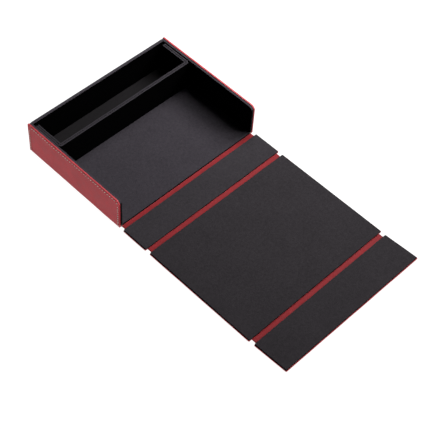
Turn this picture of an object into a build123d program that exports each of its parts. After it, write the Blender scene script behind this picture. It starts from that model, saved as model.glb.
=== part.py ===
from build123d import *
import math
import os

os.makedirs("parts", exist_ok=True)

# ---------------------------------------------------------------------------
# Storage chest: a low open-fronted tray with a lift-out divider, and a lid of
# three hinged panels, shown folded open and lying in front of the tray.
# Millimetres. +X to the right, +Y to the back, +Z up. The origin is the middle
# of the tray's underside. The open lid lies towards -Y.
# ---------------------------------------------------------------------------

# --- tray, outside
tray_w = 200.0              # over the two outer side panels
tray_d = 147.0              # front edge of the floor to the back of the back wall
side_h = 42.5               # top of the outer side panels
wall_h = 41.9               # top of the lined walls, just under the side panels
side_t = 1.5                # one outer side panel, leather over backing
wall_t = 2.5                # one lined side wall
back_t = 3.7                # lined back wall
side_back_reach = 0.7       # the side panels reach this far behind the back wall
corner_r = 6.0              # rounded upper front corner of the sides
rear_corner_r = 1.5

# --- layers
skin = 0.6                  # leather sheet
lining = 0.4                # suede-like lining sheet
base_board_t = 2.0
floor_z = skin + base_board_t + lining      # 3.0, top of the floor

# --- divider insert: a U seen from above, open to the back
div_front_y = 25.7          # its front face
div_rear_y = 66.3           # ends of its two returns
div_half_w = 95.3
div_t = 4.3
div_top = 40.8
div_gap = 0.1               # under the insert
div_r = 3.6                 # rounded outer corners

# --- lid panels, open: each lies on the plane of the tray's underside
panel_t = 2.7               # leather 0.9, board 1.4, lining 0.4
panel_skin = 0.9            # doubled leather under the panels
gap_1 = 5.9                 # floor to front panel, along the hinge strip
len_a = 34.6                # front panel
gap_2 = 6.2                 # front panel to lid panel
len_b = 144.9               # lid panel
gap_3 = 6.3                 # lid panel to flap
len_c = 43.0                # flap
half_a = 100.0
half_b = 100.0
half_c = 99.55
cover_out = 0.4             # the leather shows past the lining at the panels' ends
flap_rest_tilt = 4.0        # degrees, the flap's free edge stands up a little
strip_t = 1.0               # hinge strip, two leather layers
strip_end = 2.6             # each strip stops this short of the panel's end
strip_slack = 0.05          # between a strip and the panel edges beside it

# --- stitching on the side panels
stitch_pitch = 3.7
stitch_l = 2.1
stitch_w = 0.9
stitch_proud = 0.3
stitch_top = 2.8            # seam below the top edge
stitch_front = 2.3          # seam behind the front edge
stitch_rear = 2.4           # seam before the rear edge
stitch_foot = 2.0           # lowest end of the two upright seams
stitch_bend = 3.5           # seam's bend at the rounded corner

# --- hidden disc magnets that hold the flap on the back wall
magnet_r = 5.0
magnet_clear = 0.1
magnet_t_flap = 1.0
magnet_t_wall = 1.5
magnet_x = 60.0
magnet_z = 28.0             # height when closed

# --- derived places
y_front = -tray_d / 2
y_back = tray_d / 2
y_side_back = y_back + side_back_reach
x_side = tray_w / 2
x_wall_out = x_side - side_t
x_wall_in = x_wall_out - wall_t
y_wall_in = y_back - back_t
z_wall = skin + base_board_t

a_near = y_front - gap_1
a_far = a_near - len_a
b_near = a_far - gap_2
b_far = b_near - len_b
c_near = b_far - gap_3
c_far = c_near - len_c

# --- hinge axes (y, z), open. The lid closes with each hinge turned 90 degrees
hinge_1 = (y_front - 1.90, 1.10)
hinge_2 = (y_front - 45.20, 1.10)
hinge_3 = (y_front - 197.30, 0.50)

# the flap's own plane, turned about its hinge axis: sketch coordinates on it
# are counted from that axis
tilt = math.radians(flap_rest_tilt)
flap_plane = Plane(
    origin=(0, hinge_3[0], hinge_3[1]),
    x_dir=(1, 0, 0),
    z_dir=(0, math.sin(tilt), math.cos(tilt)),
)
c_near_l = c_near - hinge_3[0]
c_far_l = c_far - hinge_3[0]
c_bottom_l = -hinge_3[1]
closed_top = side_h + 0.3 + panel_t         # 45.5, top of the closed lid
magnet_l = hinge_3[1] - (closed_top - magnet_z)


def side_outline(profile, y0, y1, z0, z1, r_front, r_rear=0.0):
    """A wall seen from the side, with its upper front corner rounded."""
    with Locations(((y0 + y1) / 2, (z0 + z1) / 2)):
        Rectangle(y1 - y0, z1 - z0)
    fillet(profile.vertices().sort_by(lambda v: v.X - v.Y)[0], radius=r_front)
    if r_rear:
        fillet(profile.vertices().sort_by(lambda v: -v.X - v.Y)[0], radius=r_rear)


def insert_points(inset):
    """Corners of the divider's U seen from above, drawn a little inside its faces."""
    x_o, x_i = div_half_w - inset, div_half_w - div_t + inset
    y_f, y_i, y_r = div_front_y + inset, div_front_y + div_t - inset, div_rear_y - inset
    return [
        (-x_o, y_r), (-x_o, y_f), (x_o, y_f), (x_o, y_r),
        (x_i, y_r), (x_i, y_i), (-x_i, y_i), (-x_i, y_r),
    ]


# ===========================================================================
# TRAY
# ===========================================================================

# leather under the tray
with BuildPart() as base_cover:
    with BuildSketch(Plane.XY):
        Rectangle(2 * x_wall_out, tray_d)
    extrude(amount=skin)
base_cover.part.label = "base_cover"
export_step(base_cover.part, "parts/base_cover.step")

# stiff floor board, set back at the front so the lining can turn down over it
with BuildPart() as base_board:
    with BuildSketch(Plane.XY.offset(skin)):
        with Locations((0, lining / 2)):
            Rectangle(2 * x_wall_out, tray_d - lining)
    extrude(amount=base_board_t)
base_board.part.label = "base_board"
export_step(base_board.part, "parts/base_board.step")

# floor lining between the walls, turned down over the front edge of the board
with BuildPart() as floor_lining:
    with BuildSketch(Plane.YZ.offset(-x_wall_in)):
        with BuildLine():
            Polyline(
                (y_front, skin),
                (y_front, floor_z),
                (y_wall_in, floor_z),
                (y_wall_in, floor_z - lining),
                (y_front + lining, floor_z - lining),
                (y_front + lining, skin),
                close=True,
            )
        make_face()
    extrude(amount=2 * x_wall_in)
    fillet(
        floor_lining.edges().filter_by(Axis.X).group_by(Axis.Z)[-1].sort_by(Axis.Y)[0],
        radius=0.3,
    )
floor_lining.part.label = "floor_lining"
export_step(floor_lining.part, "parts/floor_lining.step")

# the two side walls and the two outer side panels, left and right
for side, s in (("left", -1), ("right", 1)):
    # lower X of each layer
    x_board = -x_wall_out if s < 0 else x_wall_in + lining
    x_wall = -x_wall_out if s < 0 else x_wall_in
    x_backing = -x_side + skin if s < 0 else x_wall_out
    x_cover = -x_side if s < 0 else x_wall_out

    # wall board
    with BuildPart() as wall_board:
        with BuildSketch(Plane.YZ.offset(x_board)) as wall_core:
            side_outline(
                wall_core, y_front + lining, y_back - lining, z_wall, wall_h - lining,
                corner_r - lining,
            )
        extrude(amount=wall_t - lining)
    wall_board.part.label = f"{side}_wall_board"
    export_step(wall_board.part, f"parts/{side}_wall_board.step")

    # wall lining: inner face, turned over the top, the front and the rear edge
    with BuildPart() as wall_lining:
        with BuildSketch(Plane.YZ.offset(x_wall)) as wall_full:
            side_outline(wall_full, y_front, y_back, z_wall, wall_h, corner_r)
        extrude(amount=wall_t)
        with BuildSketch(Plane.YZ.offset(x_board)) as wall_core:
            side_outline(
                wall_core, y_front + lining, y_back - lining, z_wall, wall_h - lining,
                corner_r - lining,
            )
        extrude(amount=wall_t - lining, mode=Mode.SUBTRACT)
    wall_lining.part.label = f"{side}_wall_lining"
    export_step(wall_lining.part, f"parts/{side}_wall_lining.step")

    # backing of the stitched outer panel
    with BuildPart() as side_backing:
        with BuildSketch(Plane.YZ.offset(x_backing)) as backing_outline:
            side_outline(
                backing_outline, y_front + skin, y_side_back - skin, skin, side_h - skin,
                corner_r - skin, rear_corner_r - skin,
            )
        extrude(amount=side_t - skin)
    side_backing.part.label = f"{side}_side_backing"
    export_step(side_backing.part, f"parts/{side}_side_backing.step")

    # leather of the outer panel, rolled over all four edges of its backing
    with BuildPart() as side_cover:
        with BuildSketch(Plane.YZ.offset(x_cover)) as cover_outline:
            side_outline(
                cover_outline, y_front, y_side_back, 0.0, side_h,
                corner_r, rear_corner_r,
            )
        extrude(amount=side_t)
        with BuildSketch(Plane.YZ.offset(x_backing)) as backing_outline:
            side_outline(
                backing_outline, y_front + skin, y_side_back - skin, skin, side_h - skin,
                corner_r - skin, rear_corner_r - skin,
            )
        extrude(amount=side_t - skin, mode=Mode.SUBTRACT)
        # softened outer arris along the rolled edge
        outer_x = -x_side if s < 0 else x_side
        outer_face = side_cover.faces().filter_by(Axis.X).sort_by(
            lambda f: abs(f.center().X - outer_x)
        )[0]
        fillet(
            [e for e in outer_face.outer_wire().edges() if e.center().Z > 0.01],
            radius=0.45,
        )
    side_cover.part.label = f"{side}_side_cover"
    export_step(side_cover.part, f"parts/{side}_side_cover.step")

    # stitches: short bars along the seam, up the front, along the top and down
    # the rear, with the seam bending at the rounded corner
    sy0 = y_front + stitch_front
    sy1 = y_side_back - stitch_rear
    sz1 = side_h - stitch_top
    places = []
    run_front = sz1 - stitch_bend - stitch_foot
    n_front = int(run_front / stitch_pitch)
    for i in range(n_front):
        places.append((sy0, stitch_foot + stitch_l / 2 + i * stitch_pitch, 90.0))
    places.append(
        (
            sy0 + stitch_bend * (1 - math.cos(math.radians(45))),
            sz1 - stitch_bend * (1 - math.sin(math.radians(45))),
            45.0,
        )
    )
    n_top = int((sy1 - sy0 - stitch_bend - 1.0) / stitch_pitch)
    for i in range(n_top):
        places.append((sy0 + stitch_bend + stitch_l / 2 + 0.4 + i * stitch_pitch, sz1, 0.0))
    n_rear = int((sz1 - stitch_foot - 1.0) / stitch_pitch)
    for i in range(n_rear):
        places.append((sy1, stitch_foot + stitch_l / 2 + i * stitch_pitch, 90.0))
    x_stitch = -x_side - stitch_proud if s < 0 else x_side
    with BuildPart() as stitching:
        with BuildSketch(Plane.YZ.offset(x_stitch)):
            for py, pz, turn in places:
                with Locations((py, pz)):
                    Rectangle(stitch_l, stitch_w, rotation=turn)
        extrude(amount=stitch_proud)
    stitching.part.label = f"{side}_stitching"
    export_step(stitching.part, f"parts/{side}_stitching.step")
    print(side, "stitches", len(places))

# back wall board, with pockets for the magnets from its outer face
with BuildPart() as back_wall_board:
    with BuildSketch(Plane.YZ.offset(-x_wall_in)):
        with Locations(
            ((y_wall_in + y_back) / 2, (z_wall + wall_h - lining) / 2)
        ):
            Rectangle(back_t - 2 * lining, wall_h - lining - z_wall)
    extrude(amount=2 * x_wall_in)
    with Locations(
        Plane(origin=(0, y_back - lining, magnet_z), x_dir=(1, 0, 0), z_dir=(0, 1, 0))
    ):
        with Locations((-magnet_x, 0), (magnet_x, 0)):
            Hole(radius=magnet_r + magnet_clear, depth=magnet_t_wall + magnet_clear)
back_wall_board.part.label = "back_wall_board"
export_step(back_wall_board.part, "parts/back_wall_board.step")

# back wall lining: inner face and over the top edge
with BuildPart() as back_wall_lining:
    with BuildSketch(Plane.YZ.offset(-x_wall_in)):
        with BuildLine():
            Polyline(
                (y_wall_in, z_wall),
                (y_wall_in, wall_h),
                (y_back - lining, wall_h),
                (y_back - lining, wall_h - lining),
                (y_wall_in + lining, wall_h - lining),
                (y_wall_in + lining, z_wall),
                close=True,
            )
        make_face()
    extrude(amount=2 * x_wall_in)
back_wall_lining.part.label = "back_wall_lining"
export_step(back_wall_lining.part, "parts/back_wall_lining.step")

# outer face of the back wall
with BuildPart() as back_wall_cover:
    with BuildSketch(Plane.YZ.offset(-x_wall_in)):
        with Locations((y_back - lining / 2, (z_wall + wall_h) / 2)):
            Rectangle(lining, wall_h - z_wall)
    extrude(amount=2 * x_wall_in)
back_wall_cover.part.label = "back_wall_cover"
export_step(back_wall_cover.part, "parts/back_wall_cover.step")

# magnets sealed in the back wall
with BuildPart() as back_wall_magnets:
    with BuildSketch(
        Plane(
            origin=(0, y_back - lining - magnet_clear / 2, magnet_z),
            x_dir=(1, 0, 0),
            z_dir=(0, -1, 0),
        )
    ):
        with Locations((-magnet_x, 0), (magnet_x, 0)):
            Circle(magnet_r)
    extrude(amount=magnet_t_wall)
back_wall_magnets.part.label = "back_wall_magnets"
export_step(back_wall_magnets.part, "parts/back_wall_magnets.step")


# ===========================================================================
# DIVIDER INSERT
# ===========================================================================

z_div = floor_z + div_gap

# U-shaped board
with BuildPart() as divider_board:
    with BuildSketch(Plane.XY.offset(z_div)):
        with BuildLine():
            Polyline(*insert_points(lining), close=True)
        make_face()
    extrude(amount=div_top - lining - z_div)
    fillet(
        divider_board.edges().filter_by(Axis.Z).group_by(Axis.Y)[0],
        radius=div_r - lining,
    )
divider_board.part.label = "divider_board"
export_step(divider_board.part, "parts/divider_board.step")

# lining wrapped round the whole insert: both faces, the top and the two ends
with BuildPart() as divider_lining:
    with BuildSketch(Plane.XY.offset(z_div)):
        with BuildLine():
            Polyline(*insert_points(0.0), close=True)
        make_face()
    extrude(amount=div_top - z_div)
    fillet(
        divider_lining.edges().filter_by(Axis.Z).group_by(Axis.Y)[0],
        radius=div_r,
    )
    add(divider_board.part, mode=Mode.SUBTRACT)
divider_lining.part.label = "divider_lining"
export_step(divider_lining.part, "parts/divider_lining.step")


# ===========================================================================
# LID: FRONT PANEL, LID PANEL, FLAP
# ===========================================================================

# front panel and lid panel lie flat: leather, board, and lining turned down
# round all four edges of the board
for name, half, near, far in (
    ("front_panel", half_a, a_near, a_far),
    ("lid_panel", half_b, b_near, b_far),
):
    middle = (0, (near + far) / 2)
    with BuildPart() as cover:
        with BuildSketch(Plane.XY):
            with Locations(middle):
                Rectangle(2 * (half + cover_out), near - far)
        extrude(amount=panel_skin)
        fillet(cover.edges().filter_by(Axis.Z), radius=0.5)
    cover.part.label = f"{name}_cover"
    export_step(cover.part, f"parts/{name}_cover.step")

    with BuildPart() as board:
        with BuildSketch(Plane.XY.offset(panel_skin)):
            with Locations(middle):
                Rectangle(2 * (half - lining), near - far - 2 * lining)
        extrude(amount=panel_t - panel_skin - lining)
    board.part.label = f"{name}_board"
    export_step(board.part, f"parts/{name}_board.step")

    with BuildPart() as sheet:
        with BuildSketch(Plane.XY.offset(panel_skin)):
            with Locations(middle):
                Rectangle(2 * half, near - far)
        extrude(amount=panel_t - panel_skin)
        fillet(sheet.edges().filter_by(Axis.Z), radius=0.5)
        fillet(sheet.faces().sort_by(Axis.Z)[-1].edges(), radius=0.3)
        with BuildSketch(Plane.XY.offset(panel_skin)):
            with Locations(middle):
                Rectangle(2 * (half - lining), near - far - 2 * lining)
        extrude(amount=panel_t - panel_skin - lining, mode=Mode.SUBTRACT)
    sheet.part.label = f"{name}_lining"
    export_step(sheet.part, f"parts/{name}_lining.step")

# flap: the same build on its own tilted plane
flap_mid = (0, (c_near_l + c_far_l) / 2)

with BuildPart() as flap_cover:
    with BuildSketch(flap_plane.offset(c_bottom_l)):
        with Locations(flap_mid):
            Rectangle(2 * (half_c + cover_out), len_c)
    extrude(amount=panel_skin)
flap_cover.part.label = "flap_cover"
export_step(flap_cover.part, "parts/flap_cover.step")

with BuildPart() as flap_board:
    with BuildSketch(flap_plane.offset(c_bottom_l + panel_skin)):
        with Locations(flap_mid):
            Rectangle(2 * (half_c - lining), len_c - 2 * lining)
    extrude(amount=panel_t - panel_skin - lining)
    # pockets for the magnets, open towards the lining
    with Locations(flap_plane.offset(c_bottom_l + panel_t - lining)):
        with Locations((-magnet_x, magnet_l), (magnet_x, magnet_l)):
            Hole(radius=magnet_r + magnet_clear, depth=magnet_t_flap + magnet_clear)
flap_board.part.label = "flap_board"
export_step(flap_board.part, "parts/flap_board.step")

with BuildPart() as flap_lining:
    with BuildSketch(flap_plane.offset(c_bottom_l + panel_skin)):
        with Locations(flap_mid):
            Rectangle(2 * half_c, len_c)
    extrude(amount=panel_t - panel_skin)
    with BuildSketch(flap_plane.offset(c_bottom_l + panel_skin)):
        with Locations(flap_mid):
            Rectangle(2 * (half_c - lining), len_c - 2 * lining)
    extrude(amount=panel_t - panel_skin - lining, mode=Mode.SUBTRACT)
flap_lining.part.label = "flap_lining"
export_step(flap_lining.part, "parts/flap_lining.step")

with BuildPart() as flap_magnets:
    with BuildSketch(
        flap_plane.offset(c_bottom_l + panel_t - lining - magnet_clear / 2 - magnet_t_flap)
    ):
        with Locations((-magnet_x, magnet_l), (magnet_x, magnet_l)):
            Circle(magnet_r)
    extrude(amount=magnet_t_flap)
flap_magnets.part.label = "flap_magnets"
export_step(flap_magnets.part, "parts/flap_magnets.step")


# ===========================================================================
# HINGE STRIPS: leather between the panels, shorter than the panels
# ===========================================================================

# floor to front panel, and front panel to lid panel: flat bands
for name, half, near, far in (
    ("hinge_strip_front", half_a - strip_end, y_front, a_near),
    ("hinge_strip_lid", half_b - strip_end, a_far, b_near),
):
    with BuildPart() as strip:
        with BuildSketch(Plane.XY):
            with Locations((0, (near + far) / 2)):
                Rectangle(2 * half, near - far - 2 * strip_slack)
        extrude(amount=strip_t)
    strip.part.label = name
    export_step(strip.part, f"parts/{name}.step")

# lid panel to flap: it lifts a little towards the flap
c_edge_bottom = flap_plane.from_local_coords((0, c_near_l + strip_slack, c_bottom_l))
c_edge_top = flap_plane.from_local_coords(
    (0, c_near_l + strip_slack, c_bottom_l + strip_t)
)
with BuildPart() as hinge_strip_flap:
    with BuildSketch(Plane.YZ.offset(-(half_c - strip_end))):
        with BuildLine():
            Polyline(
                (b_far - strip_slack, 0.0),
                (hinge_3[0], 0.0),
                (c_edge_bottom.Y, c_edge_bottom.Z),
                (c_edge_top.Y, c_edge_top.Z),
                (hinge_3[0], strip_t),
                (b_far - strip_slack, strip_t),
                close=True,
            )
        make_face()
    extrude(amount=2 * (half_c - strip_end))
hinge_strip_flap.part.label = "hinge_strip_flap"
export_step(hinge_strip_flap.part, "parts/hinge_strip_flap.step")

print("open length", y_side_back - c_far, "closed height", closed_top)
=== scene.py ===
import math

import bmesh
import bpy
import numpy as np
from mathutils import Matrix, Vector


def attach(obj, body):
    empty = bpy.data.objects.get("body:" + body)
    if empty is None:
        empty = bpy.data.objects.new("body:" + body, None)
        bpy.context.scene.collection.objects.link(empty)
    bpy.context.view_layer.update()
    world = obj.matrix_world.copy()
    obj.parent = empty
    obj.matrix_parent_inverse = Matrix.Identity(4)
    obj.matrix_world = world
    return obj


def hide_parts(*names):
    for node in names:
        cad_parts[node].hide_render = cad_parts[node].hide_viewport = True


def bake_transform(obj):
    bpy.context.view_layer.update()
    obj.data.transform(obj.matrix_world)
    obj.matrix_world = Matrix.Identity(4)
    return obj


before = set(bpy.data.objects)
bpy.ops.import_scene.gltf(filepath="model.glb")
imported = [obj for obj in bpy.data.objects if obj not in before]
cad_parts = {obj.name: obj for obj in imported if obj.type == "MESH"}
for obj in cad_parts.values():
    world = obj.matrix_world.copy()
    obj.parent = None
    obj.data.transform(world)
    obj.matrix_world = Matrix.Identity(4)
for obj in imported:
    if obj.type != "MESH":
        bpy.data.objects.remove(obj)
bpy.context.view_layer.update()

scene = bpy.context.scene

# ---------------------------------------------------------------------------
# Sizes of the chest, millimetres, in the row frame
# ---------------------------------------------------------------------------
Y_FRONT, Y_BACK, Y_SIDE_BACK = -73.5, 73.5, 74.2
SIDE_H, WALL_H, Z_WALL, FLOOR_Z = 42.5, 41.9, 2.6, 3.0
X_OUT, X_WALL_OUT, X_WALL_IN, Y_WALL_IN = 100.0, 98.5, 96.0, 69.8
PANEL_T, PANEL_SKIN, LINING = 2.7, 0.9, 0.4
A_NEAR, A_FAR = -79.4, -114.0
B_NEAR, B_FAR = -120.2, -265.1
C_NEAR, C_FAR = -271.4, -314.4
HALF_C = 99.55
COVER_OUT = 0.75
HINGE_1, HINGE_2, HINGE_3 = (-75.4, 1.1), (-118.7, 1.1), (-270.8, 0.5)
FLAP_TILT = math.radians(4.0)


# ---------------------------------------------------------------------------
# Mesh tools
# ---------------------------------------------------------------------------
def waves(points, length, seed, count=16):
    """A smooth wander of about unit size over points in mm, with features about
    `length` across. The same seed always gives the same wander."""
    rng = np.random.default_rng(seed)
    p = np.asarray(points, float)
    if p.ndim == 1:
        p = p[:, None]
    d = rng.normal(size=(count, p.shape[1]))
    d /= np.linalg.norm(d, axis=1)[:, None]
    k = 2 * np.pi / (length * rng.uniform(0.7, 1.7, count))
    phase = rng.uniform(0, 2 * np.pi, count)
    return np.cos((p @ d.T) * k + phase).sum(1) / math.sqrt(count / 2) * 0.7


def finish_mesh(name, verts, faces, materials, pick=None, sharp=40.0, wear=None):
    """A clean closed mesh object from vertices in mm. pick(centre, normal) gives
    the material number of each face; wear is a value per vertex for the shader."""
    verts = np.asarray(verts, float)
    me = bpy.data.meshes.new(name)
    me.from_pydata((verts * 0.001).tolist(), [], [list(map(int, f)) for f in faces])
    if wear is not None:
        at = me.attributes.new("wear", "FLOAT", "POINT")
        at.data.foreach_set("value", np.asarray(wear, np.float32))
    bm = bmesh.new()
    bm.from_mesh(me)
    bmesh.ops.remove_doubles(bm, verts=bm.verts, dist=1.5e-6)
    bmesh.ops.dissolve_degenerate(bm, edges=bm.edges, dist=1e-7)
    bmesh.ops.recalc_face_normals(bm, faces=bm.faces)
    bm.to_mesh(me)
    bm.free()
    for m in materials:
        me.materials.append(m)
    n = len(me.polygons)
    if pick is not None:
        centre = np.zeros(n * 3, np.float32)
        normal = np.zeros(n * 3, np.float32)
        me.polygons.foreach_get("center", centre)
        me.polygons.foreach_get("normal", normal)
        index = pick(centre.reshape(-1, 3) * 1000.0, normal.reshape(-1, 3))
        me.polygons.foreach_set("material_index", np.asarray(index, np.int32))
    me.polygons.foreach_set("use_smooth", np.ones(n, bool))
    me.set_sharp_from_angle(angle=math.radians(sharp))
    me.update()
    ob = bpy.data.objects.new(name, me)
    scene.collection.objects.link(ob)
    return ob


def corner_path(p, din, dout, box, r, n):
    """n + 1 points round one corner: straight, arc, straight, evenly spaced."""
    flat, arc = box - r, math.pi / 2 * r
    total = 2 * flat + arc
    cx, cy = p[0] + r * (din[0] + dout[0]), p[1] + r * (din[1] + dout[1])
    out = []
    for j in range(n + 1):
        s = total * j / n
        if s <= flat:
            q = box - s
            out.append((p[0] + q * din[0], p[1] + q * din[1]))
        elif s < flat + arc:
            t = (s - flat) / r
            out.append((
                cx - r * (math.cos(t) * dout[0] + math.sin(t) * din[0]),
                cy - r * (math.cos(t) * dout[1] + math.sin(t) * din[1]),
            ))
        else:
            q = s - flat - arc + r
            out.append((p[0] + q * dout[0], p[1] + q * dout[1]))
    return out


def outline_loop(a, b, radii, R, i, A, B, n):
    """The rounded rectangle a x b drawn inward by i, as one closed loop."""
    a0, a1, b0, b1 = a[0] + i, a[1] - i, b[0] + i, b[1] - i
    box = max(R - i, 0.0)
    r = [min(max(q - i, 0.0), box) for q in radii]
    pts = corner_path((a0, b0), (0, 1), (1, 0), box, r[0], n)
    pts += [(x, b0) for x in A[1:-1]]
    pts += corner_path((a1, b0), (-1, 0), (0, 1), box, r[1], n)
    pts += [(a1, y) for y in B[1:-1]]
    pts += corner_path((a1, b1), (0, -1), (-1, 0), box, r[2], n)
    pts += [(x, b1) for x in A[-2:0:-1]]
    pts += corner_path((a0, b1), (1, 0), (0, -1), box, r[3], n)
    pts += [(a0, y) for y in B[-2:0:-1]]
    return np.array(pts, float)


def plate(a, b, radii, R, rings, step, n=8, coarse=(1, 1), h=0.8):
    """A plate with a rounded outline. rings are (inset, height) from the middle of
    one face, over the edge, to the middle of the other. Returns the vertices as
    (a, b, height), the faces, the outward direction of each vertex in the plane,
    and each vertex's ring number."""
    na = max(1, round((a[1] - a[0] - 2 * R) / step / 4)) * 4
    nb = max(1, round((b[1] - b[0] - 2 * R) / step / 4)) * 4
    A = np.linspace(a[0] + R, a[1] - R, na + 1)
    B = np.linspace(b[0] + R, b[1] - R, nb + 1)
    V, O, T, F = [], [], [], []
    rings = [(R, rings[0][1])] + list(rings) + [(R, rings[-1][1])]
    size = 4 * (n + 1) + 2 * (na - 1) + 2 * (nb - 1)
    for t, (i, c) in enumerate(rings):
        i = min(i, R)
        loop = outline_loop(a, b, radii, R, i, A, B, n)
        near = outline_loop(a, b, radii, R, min(i + 0.02, R), A, B, n)
        far = outline_loop(a, b, radii, R, max(i - 0.02, 0.0), A, B, n)
        out = far - near
        length = np.linalg.norm(out, axis=1)
        out = out / np.maximum(length, 1e-9)[:, None]
        V.append(np.column_stack([loop, np.full(size, c)]))
        O.append(out)
        T.append(np.full(size, t))
    for t in range(len(rings) - 1):
        u, v = t * size, (t + 1) * size
        for j in range(size):
            k = (j + 1) % size
            F.append((u + j, u + k, v + k, v + j))
    total = len(rings) * size
    s0 = n                                  # first fine vertex of each side
    s1 = s0 + na + n + 0                    # (side 0 runs from s0 to s0 + na)
    sides = [
        [s0 + j for j in range(na + 1)],
        [s0 + na + n + j for j in range(nb + 1)],
        [s0 + na + n + nb + n + j for j in range(na + 1)],
        [(s0 + na + n + nb + n + na + n + j) % size for j in range(nb + 1)],
    ]
    for which, ring in ((0, 0), (1, len(rings) - 1)):
        k = coarse[which]
        base = ring * size
        ha = min(h, 0.6 * k * (A[1] - A[0]))
        hb = min(h, 0.6 * k * (B[1] - B[0]))
        ac, bc = A[::k].copy(), B[::k].copy()
        ac[0] += ha
        ac[-1] -= ha
        bc[0] += hb
        bc[-1] -= hb
        ma, mb = len(ac), len(bc)
        grid = np.array([(x, y, rings[ring][1]) for y in bc for x in ac])
        V.append(grid)
        O.append(np.zeros((len(grid), 2)))
        T.append(np.full(len(grid), ring))
        g = lambda p, q, o=total, m=ma: o + q * m + p
        for q in range(mb - 1):
            for p in range(ma - 1):
                F.append((g(p, q), g(p + 1, q), g(p + 1, q + 1), g(p, q + 1)))
        borders = [
            [g(p, 0) for p in range(ma)],
            [g(ma - 1, q) for q in range(mb)],
            [g(p, mb - 1) for p in range(ma - 1, -1, -1)],
            [g(0, q) for q in range(mb - 1, -1, -1)],
        ]
        for fine, edge in zip(sides, borders):
            for m in range(len(edge) - 1):
                run = [base + fine[m * k + j] for j in range(k + 1)]
                F.append(tuple(run + [edge[m + 1], edge[m]]))
        total += len(grid)
    return np.vstack(V), F, np.vstack(O), np.concatenate(T), rings


def roll(i0, c0, i1, c1, n, start="flat"):
    """Quarter of an ellipse from (i0, c0) to (i1, c1), for a rolled edge. It
    leaves along the inset when start is flat, and along the height otherwise."""
    out = []
    for j in range(1, n + 1):
        t = math.pi / 2 * j / n
        if start == "flat":
            out.append((i0 + (i1 - i0) * math.sin(t), c0 + (c1 - c0) * (1 - math.cos(t))))
        else:
            out.append((i0 + (i1 - i0) * (1 - math.cos(t)), c0 + (c1 - c0) * math.sin(t)))
    return out


def bar(profile, xs):
    """A closed profile of (y, z) points carried along X. Returns vertices, faces."""
    profile = np.asarray(profile, float)
    m = len(profile)
    V = np.vstack([
        np.column_stack([np.full(m, x), profile]) for x in xs
    ])
    F = []
    for s in range(len(xs) - 1):
        for j in range(m):
            k = (j + 1) % m
            F.append((s * m + j, s * m + k, (s + 1) * m + k, (s + 1) * m + j))
    F.append(tuple(range(m)))
    F.append(tuple((len(xs) - 1) * m + j for j in range(m)))
    return V, F


def between(p, q, n):
    """n points from p up to, but not at, q."""
    return [
        (p[0] + (q[0] - p[0]) * j / n, p[1] + (q[1] - p[1]) * j / n) for j in range(n)
    ]


def arc(cy, cz, r, deg0, deg1, n):
    return [
        (
            cy + r * math.cos(math.radians(deg0 + (deg1 - deg0) * j / n)),
            cz + r * math.sin(math.radians(deg0 + (deg1 - deg0) * j / n)),
        )
        for j in range(n + 1)
    ]


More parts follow.
